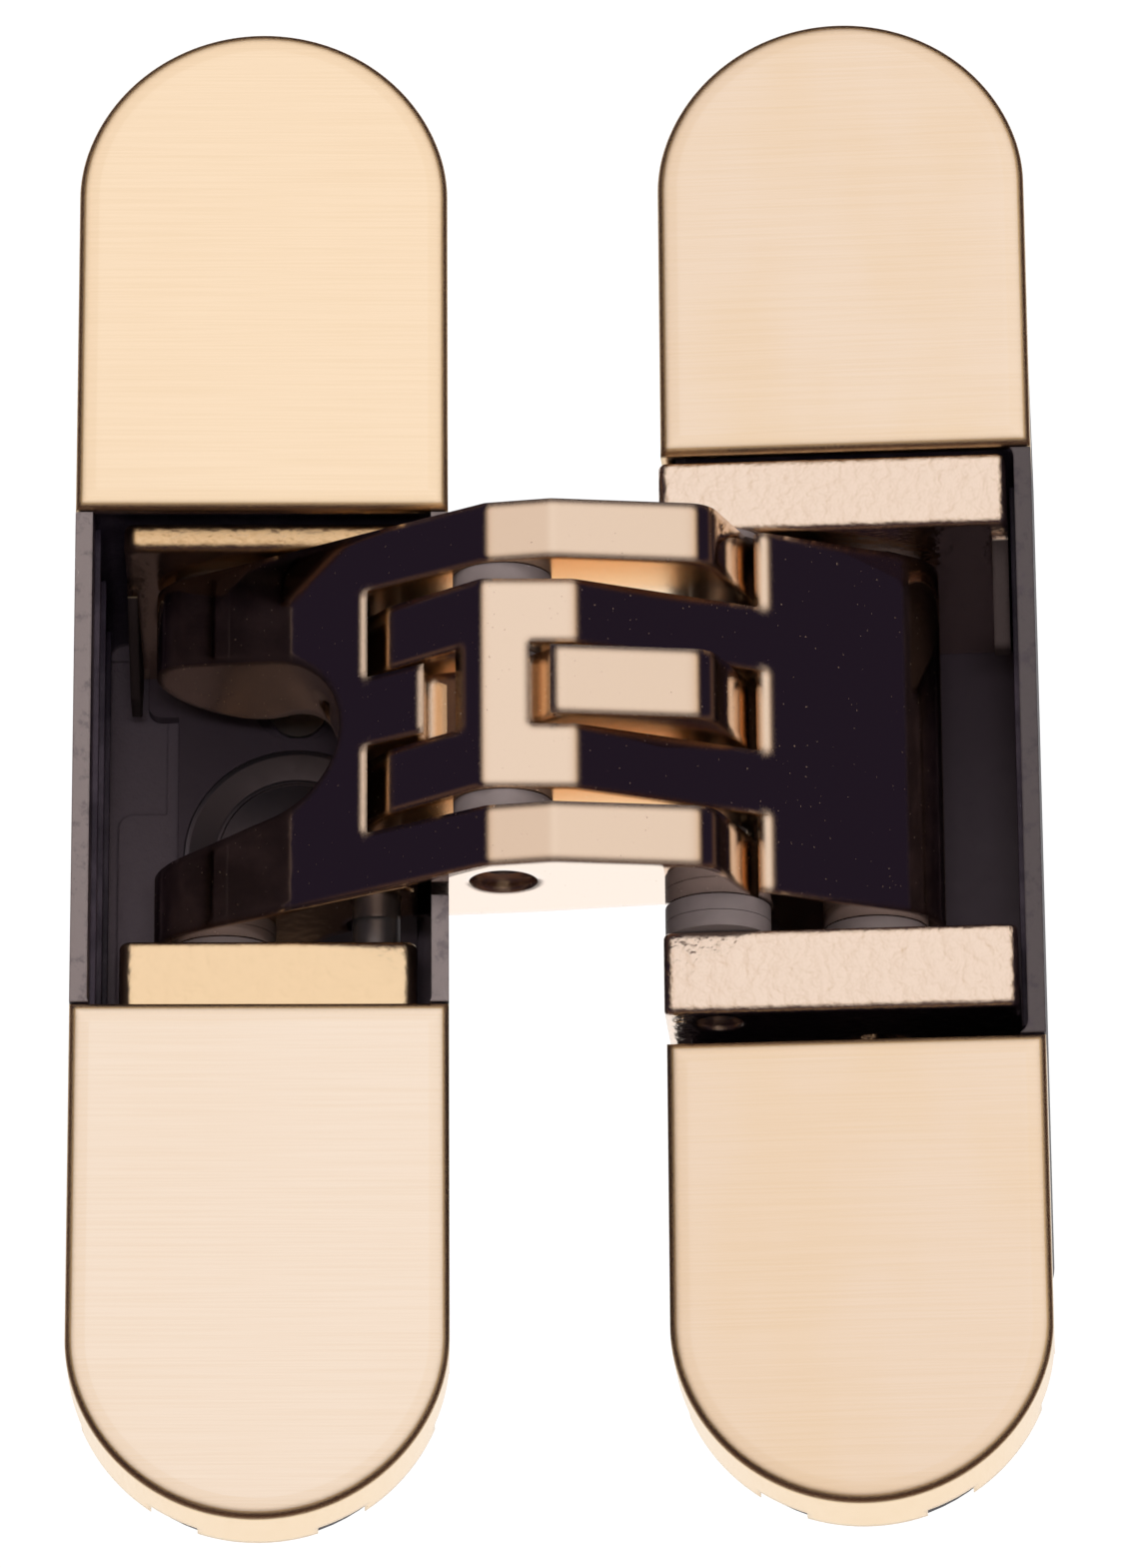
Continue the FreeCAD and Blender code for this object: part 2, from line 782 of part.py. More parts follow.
def make_outer_lever():
    """Forked plate, crown and three fingers with pin bores."""
    mid = linkage_height
    cx, cy = centre_pivot
    px, py = frame_pivot
    whole = outer_outline(mid - stack_half, mid + stack_half)
    window_x = px - window_left
    clear = tail_radius + pass_gap
    reach = 2 * body_width
    left = tangent_spot((window_x, cy + window_floor), frame_pivot, clear, -1)
    for sign in (-1, 1):
        low = min(sign * finger_inner, sign * tongue_half) + mid
        high = max(sign * finger_inner, sign * tongue_half) + mid
        wire = rounded_outline([
            (window_x, -half_width, 0),
            (reach, -half_width, 0),
            (reach, half_width, 0),
            (px, half_width, 0),
            (px, py, 0),
            (left[0], left[1], 0),
            (window_x, cy + window_floor, 0),
        ])
        whole = whole.cut(prism(wire, low, high))
        whole = whole.cut(round_post(frame_pivot, clear, low, high))
    low = mid - tongue_half - pass_gap
    high = mid + tongue_half + pass_gap
    sweep = centre_sector(tongue_sweep_radius, tongue_sweep_start, tongue_sweep_end, low, high)
    whole = whole.cut(sweep.cut(round_post(centre_pivot, shim_radius + 2 * run_gap, low, high)))
    fork_half = math.radians(fork_slope)
    fork_middle = mid - fork_drop
    fork_tip = cx - fork_left - fork_radius + fork_radius / math.sin(fork_half)
    fork_end = -body_width
    fork_open = (fork_tip - fork_end) * math.tan(fork_half)
    fork = lying(rounded_outline([
        (fork_end, fork_middle - fork_open, 0),
        (fork_tip, fork_middle, fork_radius),
        (fork_end, fork_middle + fork_open, 0),
    ]), -half_width, frame_depth)
    whole = whole.cut(fork)
    whole = bored(whole, centre_pivot, pin_radius, None)
    for z in (mid - stack_half - bite, mid + stack_half - recess_deep):
        whole = whole.cut(round_post(centre_pivot, recess_radius, z, z + recess_deep + bite))
    whole = bored(whole, door_pivot, pin_radius + run_gap, None)
    return bored(whole, frame_slide, None, pin_radius)


# Inner lever: two arms joined by a web, full height plate in the door side
def inner_outline(low, high):
    """Whole side view of the inner lever between two heights."""
    cx, cy = centre_pivot
    px, py = frame_pivot
    bx, by = door_pivot
    brow = (cx + brow_right, cy - brow_front)
    heel = (cx - heel_left, cy + heel_back)
    nose_front = tangent_spot(brow, door_slide, nose_radius, 1)
    lip = (bx + inner_lip_right, by + inner_lip_back)
    nose_back = tangent_spot(lip, door_slide, nose_radius, -1)
    tail_left = tangent_spot(heel, frame_pivot, tail_radius, -1)
    back = (cx + inner_back_right, cy + inner_back)
    tail_right = tangent_spot(back, frame_pivot, tail_radius, 1)
    corners = [
        (cx - inner_crease_left, cy - inner_crease_front, crease_radius),
        (brow[0], brow[1], crease_radius),
        (nose_front[0], nose_front[1], 0),
        (door_slide[0], door_slide[1], 0),
        (nose_back[0], nose_back[1], 0),
        (lip[0], lip[1], crease_radius),
        (bx - inner_root_left, by - inner_root_front, 0),
        (cx + belly_right, cy + belly_back, crease_radius),
        (back[0], back[1], crease_radius),
        (tail_right[0], tail_right[1], 0),
        (px, py, 0),
        (tail_left[0], tail_left[1], 0),
        (heel[0], heel[1], crease_radius),
    ]
    body = prism(rounded_outline(corners), low, high)
    tail = round_post(frame_pivot, tail_radius, low, high)
    nose = round_post(door_slide, nose_radius, low, high)
    solid = fused([body, tail, nose])
    return solid.cut(round_post(door_pivot, pin_radius + pass_gap, low - over, high + over))


def make_inner_lever():
    """Two arms with bores, the web before the centre pin and the door plate."""
    mid = linkage_height
    low = mid - stack_half
    high = mid + stack_half
    cx, cy = centre_pivot
    plate_x = door_pivot[0] + inner_plate_in
    plate = inner_outline(low, high)
    plate = plate.cut(block(-body_width, plate_x, -half_width, door_depth, low - over, high + over))
    front_edges = []
    for edge in plate.Edges:
        box = edge.BoundBox
        if abs(box.XMax - plate_x) < same and box.ZLength > stack_half and box.YMax < door_pivot[1]:
            front_edges.append(edge)
    plate = plate.makeFillet(inner_plate_edge, front_edges)
    plate = plate.cut(round_post(door_pivot, knuckle_radius + pass_gap, low - over, high + over))
    pieces = [plate]
    for sign in (-1, 1):
        arm_low = min(sign * arm_inner, sign * arm_outer) + mid
        arm_high = max(sign * arm_inner, sign * arm_outer) + mid
        pieces.append(inner_outline(arm_low, arm_high))
    web = inner_outline(mid - arm_inner - over, mid + arm_inner + over)
    web = web.common(block(cx - web_left, cx + web_right, -half_width, cy - web_back, low, high))
    web = web.cut(round_post(centre_pivot, web_clear_radius, low, high))
    pieces.append(web)
    whole = fused(pieces)
    whole = bored(whole, centre_pivot, pin_radius + run_gap, None)
    whole = bored(whole, frame_pivot, pin_radius + run_gap, None)
    return bored(whole, door_slide, None, pin_radius)


outer_lever = make_outer_lever()
inner_lever = make_inner_lever()


# Pins, rollers and washers
mid = linkage_height
centre_low = mid - stack_half + recess_deep
centre_high = mid + stack_half - recess_deep
centre_pin = round_post(centre_pivot, pin_radius, centre_low, centre_high)
for z in (centre_low - bite, centre_high - centre_bore_deep):
    centre_pin = centre_pin.cut(round_post(centre_pivot, centre_bore, z, z + centre_bore_deep + bite))
frame_pivot_pin = round_post(
    frame_pivot, pin_radius, mid - frame_block_low_out + pin_end_gap, mid + frame_block_top_out,
)
door_pivot_pin = round_post(
    door_pivot, pin_radius,
    mid - door_block_low_out + pin_end_gap, mid + door_block_top_out - pin_end_gap,
)


def slide_pin_pair(centre, low_end, top_end):
    """Two stub pins in the outer faces of a lever, each up to a height from the middle."""
    low = round_post(centre, pin_radius, mid - low_end, mid - stack_half + stub_seat)
    high = round_post(centre, pin_radius, mid + stack_half - stub_seat, mid + top_end)
    return Part.makeCompound([low, high])


def ring_stack(centre, radius, heights):
    """Separate flat rings round a pin, between pairs of heights."""
    inner = pin_radius + run_gap
    rings = [tube(centre, radius, inner, mid + low, mid + high) for low, high in heights]
    return Part.makeCompound(rings)


def washers_between(inside, outside, count):
    """Heights of one or two rings that fill the space between a lever and a block."""
    step = (outside - inside - stack_gap) / count
    return [(inside + stack_gap + step * i, inside + step * (i + 1)) for i in range(count)]


def below(heights):
    """The same heights on the lower side of the stack."""
    return [(-high, -low) for low, high in heights]


frame_seat_in = frame_block_top_in + frame_washer_seat
frame_top_roller = (frame_seat_in + stack_gap, frame_block_top_in + roller_height)
frame_low_roller = (frame_block_low_in + stack_gap, frame_block_low_in + roller_height)
door_top_roller = (door_block_top_in + stack_gap, door_block_top_in + roller_height)
door_low_roller = (door_block_low_in + stack_gap, door_block_low_in + roller_height)
frame_slide_pins = slide_pin_pair(frame_slide, frame_low_roller[1], frame_top_roller[1])
door_slide_pins = slide_pin_pair(door_slide, door_low_roller[1], door_top_roller[1])
frame_slide_rollers = ring_stack(frame_slide, roller_radius, [frame_top_roller] + below([frame_low_roller]))
door_slide_rollers = ring_stack(door_slide, roller_radius, [door_top_roller] + below([door_low_roller]))
door_rings = washers_between(stack_half, door_block_top_in, 1)
door_rings += below(washers_between(stack_half, door_block_low_in, 2))
frame_rings = washers_between(stack_half, frame_seat_in, 2)
frame_rings += below(washers_between(stack_half, frame_block_low_in, 2))
centre_rings = washers_between(arm_outer, finger_inner, 1)
shim_rings = washers_between(tongue_half, arm_inner, 1)
frame_slide_washers = ring_stack(frame_slide, washer_radius, frame_rings)
door_slide_washers = ring_stack(door_slide, washer_radius, door_rings)
door_pivot_washers = ring_stack(door_pivot, washer_radius, door_rings)
centre_washers = ring_stack(centre_pivot, centre_washer_radius, centre_rings + below(centre_rings))
centre_shims = ring_stack(centre_pivot, shim_radius, shim_rings + below(shim_rings))


# Slide plates on the pocket floors, with the adjusting discs and screws
def long_hole(x, z, radius, reach_x, reach_z, front, back):
    """Hole with round ends, along X or Z."""
    corner = radius - bite
    left = x - radius - reach_x
    right = x + radius + reach_x
    low = z - radius - reach_z
    high = z + radius + reach_z
    wire = rounded_outline([
        (left, low, corner), (right, low, corner), (right, high, corner), (left, high, corner),
    ])
    return lying(wire, front, back)


def slide_plate(x1, x2, z1, z2, back, disc, radius, rise, spans, move_x, up, down):
    """Back plate of a carriage: disc seat, tab slots and long clamp holes."""
    rear = back + plate_thickness
    corner = plate_corner
    solid = lying(
        rounded_outline([(x1, z1, corner), (x2, z1, corner), (x2, z2, corner), (x1, z2, corner)]),
        back, rear,
    )
    seat = Part.makeCylinder(radius + run_gap, 2 * over + plate_thickness,
                             Vec(disc[0], back - over, disc[1]), INWARD)
    solid = solid.cut(seat)
    for low, high in spans:
        for x in tab_places(x1, x2):
            solid = solid.cut(block(x - tab_width / 2, x + tab_width / 2, back - over, rear + over,
                                    low + tab_inset, high - tab_inset))
    head = clamp_head_radius + clamp_gap
    shank = clamp_shank_radius + clamp_gap
    reach_z = (up + down) / 2
    for sign in (-1, 1):
        z = disc[1] + sign * rise + (up - down) / 2
        head_hole = long_hole(disc[0], z, head, move_x, reach_z, back - over, back + clamp_head_deep)
        shank_hole = long_hole(disc[0], z, shank, move_x, reach_z, back, rear + over)
        solid = solid.cut(head_hole).cut(shank_hole)
    return solid


def hex_socket(x, y, z, across_flats, deep):
    """Six sided hole running inwards from a depth."""
    points = []
    corner_radius = across_flats / math.sqrt(3)
    for k in range(7):
        a = math.radians(60 * k)
        points.append(Vec(x + corner_radius * math.cos(a), y, z + corner_radius * math.sin(a)))
    return Part.Face(Part.makePolygon(points)).extrude(INWARD * deep)


def adjusting_disc(disc, radius, back, pin_x, pin_z):
    """Dished disc with a sloping rim, a raised lip and a hex socket, eccentric pin behind."""
    x, z = disc
    body = Part.makeCylinder(radius, plate_thickness, Vec(x, back, z), INWARD)
    inner = radius - disc_rim - disc_slope
    dish = Part.makeCone(radius - disc_rim, inner, disc_dish, Vec(x, back, z), INWARD)
    lip = Part.makeCylinder(inner, disc_lip_height, Vec(x, back + disc_dish - disc_lip_height, z), INWARD)
    lip = lip.cut(Part.makeCylinder(inner - disc_lip, disc_dish + over, Vec(x, back, z), INWARD))
    body = fused([body.cut(dish), lip])
    body = body.cut(hex_socket(x, back, z, disc_socket, disc_socket_deep))
    pin_end = back + plate_thickness + floor_gap + floor_thickness - throw_pin_end_gap
    start = Vec(x + pin_x, back + disc_socket_deep, z + pin_z)
    pin = Part.makeCylinder(throw_pin_radius, pin_end - back - disc_socket_deep, start, INWARD)
    return fused([body, pin])


def clamp_screws(disc, rise, back, depth):
    """Two flat headed screws from the slide plate into the housing floor."""
    screws = []
    for sign in (-1, 1):
        z = disc[1] + sign * rise
        start = Vec(disc[0], back, z)
        head = Part.makeCylinder(clamp_head_radius, clamp_head_deep - run_gap, start, INWARD)
        shank = Part.makeCylinder(clamp_shank_radius, depth - back - side_gap, start, INWARD)
        screw = fused([head, shank])
        screws.append(screw.cut(hex_socket(disc[0], back - bite, z, clamp_socket, clamp_socket_deep)))
    return Part.makeCompound(screws)


def floor_holes(shell, disc, rise, depth, pin_x, pin_z, slot_x, slot_z):
    """Cuts the eccentric slot and the two screw holes into a housing floor."""
    floor = depth - floor_thickness
    radius = throw_pin_radius + throw_pin_gap
    slot = long_hole(disc[0] + pin_x, disc[1] + pin_z, radius, slot_x, slot_z,
                     floor - over, depth - travel_gap)
    shell = shell.cut(slot)
    for sign in (-1, 1):
        start = Vec(disc[0], floor - over, disc[1] + sign * rise)
        shell = shell.cut(Part.makeCylinder(clamp_shank_radius, floor_thickness + 2 * over, start, INWARD))
    return shell


frame_spans = [
    (frame_mid - frame_block_low_out, frame_mid - frame_block_low_in),
    (frame_mid + frame_block_top_in, frame_mid + frame_block_top_out),
]
door_spans = [
    (door_mid - door_block_low_out, door_mid - door_block_low_in),
    (door_mid + door_block_top_in, door_mid + door_block_top_out),
]
frame_disc = ((frame_plate_left + frame_x2) / 2, frame_mid)
door_disc = ((door_x1 + door_ear + door_x2) / 2, door_mid)
clamp_side = side_travel + floor_gap
frame_slide_plate = slide_plate(
    frame_plate_left, frame_x2, frame_spans[0][0], frame_spans[1][1], frame_back,
    frame_disc, frame_disc_radius, frame_clamp_rise, frame_spans, clamp_side, 0, 0,
)
wing_x = half_width - frame_wing_far
wing_low = frame_spans[1][1] - frame_wing_height
wing = lying(rounded_outline([
    (wing_x, wing_low, plate_corner),
    (frame_plate_left + over, wing_low, 0),
    (frame_plate_left + over, frame_spans[1][1], 0),
    (wing_x, frame_spans[1][1], plate_corner),
]), frame_back, frame_back + plate_thickness)
frame_slide_plate = fused([frame_slide_plate, wing])
door_slide_plate = slide_plate(
    door_x1 + door_ear, door_x2, door_spans[0][0], door_spans[1][1], door_back,
    door_disc, door_disc_radius, door_clamp_rise, door_spans, 0,
    height_up + floor_gap, height_down + floor_gap,
)
frame_adjuster = adjusting_disc(frame_disc, frame_disc_radius, frame_back, 0, frame_throw)
door_adjuster = adjusting_disc(door_disc, door_disc_radius, door_back, door_throw, 0)
frame_clamp_screws = clamp_screws(frame_disc, frame_clamp_rise, frame_back, frame_depth)
door_clamp_screws = clamp_screws(door_disc, door_clamp_rise, door_back, door_depth)
frame_housing = floor_holes(
    frame_housing, frame_disc, frame_clamp_rise, frame_depth, 0, frame_throw, 0, throw_slot_reach / 2,
)
door_housing = floor_holes(
    door_housing, door_disc, door_clamp_rise, door_depth, door_throw, 0, throw_slot_reach, 0,
)

nodes = {
    "frame_housing": frame_housing,
    "frame_cap_top": cover_cap(frame_opening, True),
    "frame_cap_bottom": cover_cap(frame_opening, False),
    "frame_upper_block": frame_upper_block,
    "frame_lower_block": frame_lower_block,
    "frame_slide_plate": frame_slide_plate,
    "frame_adjuster": frame_adjuster,
    "frame_clamp_screws": frame_clamp_screws,
    "frame_pivot_pin": frame_pivot_pin,
    "outer_lever": outer_lever,
    "inner_lever": inner_lever,
    "centre_pin": centre_pin,
    "centre_washers": centre_washers,
    "centre_shims": centre_shims,
    "frame_slide_pins": frame_slide_pins,
    "frame_slide_rollers": frame_slide_rollers,
    "frame_slide_washers": frame_slide_washers,
    "door_slide_pins": door_slide_pins,
    "door_slide_rollers": door_slide_rollers,
    "door_slide_washers": door_slide_washers,
    "door_pivot_pin": door_pivot_pin,
    "door_pivot_washers": door_pivot_washers,
    "door_upper_block": on_door(door_upper_block),
    "door_lower_block": on_door(door_lower_block),
    "door_slide_plate": on_door(door_slide_plate),
    "door_adjuster": on_door(door_adjuster),
    "door_clamp_screws": on_door(door_clamp_screws),
    "door_housing": on_door(door_housing),
    "door_cap_top": on_door(cover_cap(door_opening, True)),
    "door_cap_bottom": on_door(cover_cap(door_opening, False)),
}

for name, shape in nodes.items():
    shape.exportStep("parts/" + name + ".step")
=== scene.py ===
"""Concealed door hinge: finishes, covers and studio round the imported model."""

import math

import bpy
from mathutils import Matrix, Vector

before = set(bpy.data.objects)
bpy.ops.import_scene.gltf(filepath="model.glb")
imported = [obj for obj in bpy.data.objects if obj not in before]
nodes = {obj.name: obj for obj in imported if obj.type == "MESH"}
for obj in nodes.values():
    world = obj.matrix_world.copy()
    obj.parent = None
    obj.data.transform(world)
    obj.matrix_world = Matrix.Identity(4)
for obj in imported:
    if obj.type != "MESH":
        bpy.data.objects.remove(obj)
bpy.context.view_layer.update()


# Both housings: deep die-cast shells, black coated all over.
# The coat is matt and slightly grained, and rubbed grey along the open front
# edges, where it meets the mortise.
class Wire:
    """A shader socket that takes part in sums, products and comparisons like a number."""

    def __init__(self, socket):
        self.socket = socket

    def add(self, kind, settings=None, sockets=None, output=0):
        """Adds a node: its settings first, then the value or link of each named socket."""
        tree = self.socket.id_data
        node = tree.nodes.new(kind)
        for name, value in (settings or {}).items():
            if name == "stops":
                set_stops(node.color_ramp, value)
            else:
                setattr(node, name, value)
        for name, value in (sockets or {}).items():
            if isinstance(value, Wire):
                tree.links.new(value.socket, node.inputs[name])
            else:
                node.inputs[name].default_value = value
        return Wire(node.outputs[output])

    def maths(self, operation, first, second=0.0):
        return self.add("ShaderNodeMath", {"operation": operation}, {0: first, 1: second})

    def __add__(self, other):
        return self.maths("ADD", self, other)

    def __radd__(self, other):
        return self.maths("ADD", other, self)

    def __sub__(self, other):
        return self.maths("SUBTRACT", self, other)

    def __rsub__(self, other):
        return self.maths("SUBTRACT", other, self)

    def __mul__(self, other):
        return self.maths("MULTIPLY", self, other)

    def __rmul__(self, other):
        return self.maths("MULTIPLY", other, self)

    def __pow__(self, other):
        return self.maths("POWER", self, other)

    def ramp(self, low, high, start=0.0, end=1.0):
        """Runs smoothly from start to end while this value goes from low to high."""
        return self.add("ShaderNodeMapRange", {"interpolation_type": "SMOOTHSTEP"}, {
            "Value": self, "From Min": low, "From Max": high, "To Min": start, "To Max": end,
        })

    def mix(self, first, second):
        """First colour where this value is 0, second where it is 1."""
        return self.add("ShaderNodeMix", {"data_type": "RGBA"}, {0: self, 6: first, 7: second}, 2)

    def scaled(self, x, y, z):
        return self.add("ShaderNodeVectorMath", {"operation": "MULTIPLY"}, {0: self, 1: (x, y, z)})

    def noise(self, scale, detail=2.0, roughness=0.5):
        """Cloudy value about 0.5 with this many cells to the metre."""
        return self.add("ShaderNodeTexNoise", {"noise_dimensions": "3D"}, {
            "Vector": self, "Scale": scale, "Detail": detail, "Roughness": roughness,
        })

    def axis(self, number):
        return self.add("ShaderNodeSeparateXYZ", None, {0: self}, number)

    def along(self, direction):
        """How far this point lies along a direction."""
        return self.add(
            "ShaderNodeVectorMath", {"operation": "DOT_PRODUCT"}, {0: self, 1: direction}, 1,
        )

    def outward(self):
        """The direction that the piece's own surface faces, before any bump."""
        return self.add("ShaderNodeTexCoord", None, None, "Normal")


def set_stops(ramp, stops):
    """Gives a colour ramp its stops, each a place and a colour."""
    while len(ramp.elements) < len(stops):
        ramp.elements.new(1.0)
    for element, (place, colour) in zip(ramp.elements, stops):
        element.position = place
        element.color = colour


def material(name):
    """A new material: its main shader and the surface's own coordinates."""
    made = bpy.data.materials.new(name)
    made.use_nodes = True
    shader = made.node_tree.nodes["Principled BSDF"]
    place = Wire(made.node_tree.nodes.new("ShaderNodeTexCoord").outputs["Object"])
    return made, shader, place


def feed(shader, **sockets):
    """Sets or links the shader's sockets, named with _ for a space."""
    for name, value in sockets.items():
        socket = shader.inputs[name.replace("_", " ")]
        if isinstance(value, Wire):
            shader.id_data.links.new(value.socket, socket)
        else:
            socket.default_value = value


def bump(height, depth, strength=1.0, normal=None):
    """Normal of a surface raised by height, 0 to 1, times depth in metres."""
    sockets = {"Height": height, "Distance": depth, "Strength": strength}
    if normal is not None:
        sockets["Normal"] = normal
    return height.add("ShaderNodeBump", None, sockets)


def soft_edges(place, radius):
    """Normal of the surface with its edges rounded to a radius."""
    return place.add("ShaderNodeBevel", {"samples": 6}, {"Radius": radius})


def dress(made, *names):
    for name in names:
        mesh = nodes[name].data
        mesh.materials.clear()
        mesh.materials.append(made)


half_width = 0.014
door_turn = math.radians(-4.79)
door_corner = Vector((0.03006, 0.00236, 0.0))
door_inward = Vector((-math.sin(door_turn), math.cos(door_turn), 0.0))
door_floor = 0.0308
frame_corner = Vector((-half_width, 0.0, 0.0))
frame_inward = Vector((0.0, 1.0, 0.0))
frame_floor = 0.0368
pocket_half = 0.0129
inside_wall = 0.0132
rim_depth = 0.00042
rim_fade = 0.0006
above_floor = (0.0009, 0.0004)
below_floor = (0.0015, 0.0013)
coat_dark = (0.026, 0.018, 0.032, 1.0)
coat_light = (0.064, 0.048, 0.070, 1.0)
cast_grey = (0.150, 0.115, 0.138, 1.0)
frame_rubbed = (0.24, 0.20, 0.20, 1.0)
door_rubbed = (0.085, 0.070, 0.075, 1.0)


def coat(name, inward, corner, floor, rubbed):
    """Black coat, rubbed along the front edge and grey as cast on the pocket's floor."""
    made, shader, place = material(name)
    depth = place.along(inward) - inward.dot(corner)
    sideways = Vector((inward.y, -inward.x, 0.0))
    off_centre = place.along(sideways) - sideways.dot(corner) - half_width
    within = (off_centre ** 2.0).ramp(inside_wall ** 2, pocket_half ** 2)
    clouds = place.noise(260.0, 4.0, 0.62).ramp(0.35, 0.70)
    pits = place.noise(900.0, 3.0, 0.65)
    grain = place.noise(2600.0, 2.0, 0.6)
    rim = depth.ramp(rim_fade, rim_depth) * pits.ramp(0.30, 0.50, 0.55, 1.0)
    past_wall = depth.ramp(floor - above_floor[0], floor - above_floor[1])
    short_of_back = depth.ramp(floor + below_floor[0], floor + below_floor[1])
    bare = past_wall * short_of_back * within
    skin = bare.mix(clouds.mix(coat_dark, coat_light), cast_grey)
    feed(
        shader,
        Base_Color=rim.mix(skin, rubbed),
        Roughness=0.40 + grain * 0.22,
        Metallic=0.1,
        Normal=bump(pits * bare * 3.0 + grain, 0.00006, 0.6, soft_edges(place, 0.00025)),
    )
    return made


dress(coat("frame_coat", frame_inward, frame_corner, frame_floor, frame_rubbed), "frame_housing")
dress(coat("door_coat", door_inward, door_corner, door_floor, door_rubbed), "door_housing")


# Cover caps: thin zinc covers, plated gold and brushed crosswise.
# They clip over the shallow end blocks and hide the fixing screws.
# Painted reflection on the cap bevels; also mixed a little into the flats as random mottling and
# brush strokes.
bevel_reflection_and_mottle_gold = (0.89, 0.655, 0.395, 1.0)
# Painted reflection: each side's lower and upper caps get their own flat gold, the lower ones
# paler and pinker from the white below.
frame_low_reflection_gold = (0.955, 0.820, 0.690, 1.0)
frame_high_reflection_gold = (0.995, 0.810, 0.600, 1.0)
door_low_reflection_gold = (0.915, 0.750, 0.600, 1.0)
door_high_reflection_gold = (0.930, 0.770, 0.620, 1.0)
between_caps = 0.02
brush_depth = 0.000005


def cover(name, inward, lower, upper, mottled):
    """Brushed gold of one side's two caps, with painted reflection: lower and upper caps coloured
    apart, and deeper gold on the bevels.
    """
    made, shader, place = material(name)
    strokes = place.scaled(60.0, 400.0, 7000.0).noise(1.0, 3.0, 0.6)
    clouds = place.scaled(1.0, 1.0, 0.6).noise(90.0, 2.0).ramp(0.40, 0.70)
    # Painted reflection: mask of the bevels, which are given the deeper gold.
    bevel_reflection = (place.outward().along(inward) + 1.0).ramp(0.002, 0.006)
    flat_reflection = place.axis(2).ramp(-between_caps, between_caps).mix(lower, upper)
    deeper = clouds * mottled + strokes.ramp(0.40, 0.65) * 0.10
    feed(
        shader,
        Base_Color=bevel_reflection.ramp(0.0, 1.0, deeper, 0.95).mix(flat_reflection, bevel_reflection_and_mottle_gold),
        Metallic=1.0,
        Roughness=0.19 + strokes * 0.10,
        Normal=bump(strokes, brush_depth, 0.30, soft_edges(place, 0.0009)),
    )
    return made


frame_cover = cover("frame_cover", frame_inward, frame_low_reflection_gold, frame_high_reflection_gold, 0.04)
door_cover = cover("door_cover", door_inward, door_low_reflection_gold, door_high_reflection_gold, 0.25)
dress(frame_cover, "frame_cap_top", "frame_cap_bottom")
dress(door_cover, "door_cap_top", "door_cap_bottom")


# Levers: die-cast zinc, ground and polished in front, then plated gold.
# They cross at the centre pin. Their walls are left as cast and rougher, with a painted orange
# glow of light bounced between the gold parts.
gold = (0.80, 0.640, 0.510, 1.0)
# Painted glow: the walls take a more orange gold for light bounced between the gold parts.
wall_glow_gold = (0.97, 0.720, 0.480, 1.0)
# Painted reflection: the lowest faces that face up or down are paler, for the white they mirror
# from below.
flank_reflection_gold = (0.94, 0.790, 0.680, 1.0)
lowest_faces = (-0.0085, -0.0095)
polished_gold, shader, place = material("polished_gold")
waves = place.noise(420.0, 2.0)
specks = place.noise(5200.0, 0.0).ramp(0.83, 0.86)
outward = place.outward()
walls = outward.axis(1).ramp(-0.30, -0.20)
flanks = (outward.axis(2) ** 2.0).ramp(0.75, 0.85) * place.axis(2).ramp(*lowest_faces)
feed(
    shader,
    # Painted glow on the walls and painted white reflection on the lowest faces.
    Base_Color=flanks.mix(walls.mix(gold, wall_glow_gold), flank_reflection_gold),
    Metallic=1.0,
    Roughness=(walls - flanks) * 0.17 + 0.05 + specks * 0.4,
    Normal=bump(waves, 0.00002, 0.3, soft_edges(place, 0.0010)),
)
dress(polished_gold, "outer_lever", "inner_lever")


# Carriage blocks: gold-plated die castings, left as cast on their pebbled fronts.
# The cheeks that hang from the upper blocks are dull, deep in the pockets.
cheek_brown = (0.050, 0.034, 0.034, 1.0)
frame_cast_gold = (0.90, 0.680, 0.440, 1.0)
door_cast_gold = (0.88, 0.725, 0.610, 1.0)
frame_underside = 0.0181
door_underside = 0.0182
no_cheek = -1.0
plating_edge = 0.0001
frame_upper_draft = 0.27


def casting(name, colour, underside, relief, draft=0.0):
    """Plated casting, dull below the underside of an upper block, its front leaning by a draft."""
    made, shader, place = material(name)
    pebbles = place.noise(1100.0, 2.0, 0.5)
    leaning = bump(place.axis(2), draft, 1.0, soft_edges(place, 0.0006))
    plated = place.axis(2).ramp(underside - plating_edge, underside + plating_edge)
    feed(
        shader,
        Base_Color=plated.mix(cheek_brown, colour),
        Metallic=plated.ramp(0.0, 1.0, 0.1, 1.0),
        Roughness=plated.ramp(0.0, 1.0, 0.60, 0.14) + pebbles * 0.10,
        Normal=bump(pebbles, relief, 0.6, leaning),
    )
    return made


frame_upper_gold = casting(
    "frame_upper_gold", frame_cast_gold, frame_underside, 0.00008, frame_upper_draft,
)
dress(frame_upper_gold, "frame_upper_block")
dress(casting("frame_lower_gold", frame_cast_gold, no_cheek, 0.00012), "frame_lower_block")
dress(casting("door_upper_gold", door_cast_gold, door_underside, 0.00022), "door_upper_block")
dress(casting("door_lower_gold", door_cast_gold, no_cheek, 0.00022), "door_lower_block")


# Pins, screws and adjusting discs: plain steel, turned or stamped.
# The slide plates behind them are darker, as pressed and unpolished.
steel_grey = (0.26, 0.23, 0.23, 1.0)
disc_grey = (0.13, 0.112, 0.135, 1.0)
plate_grey = (0.085, 0.062, 0.080, 1.0)


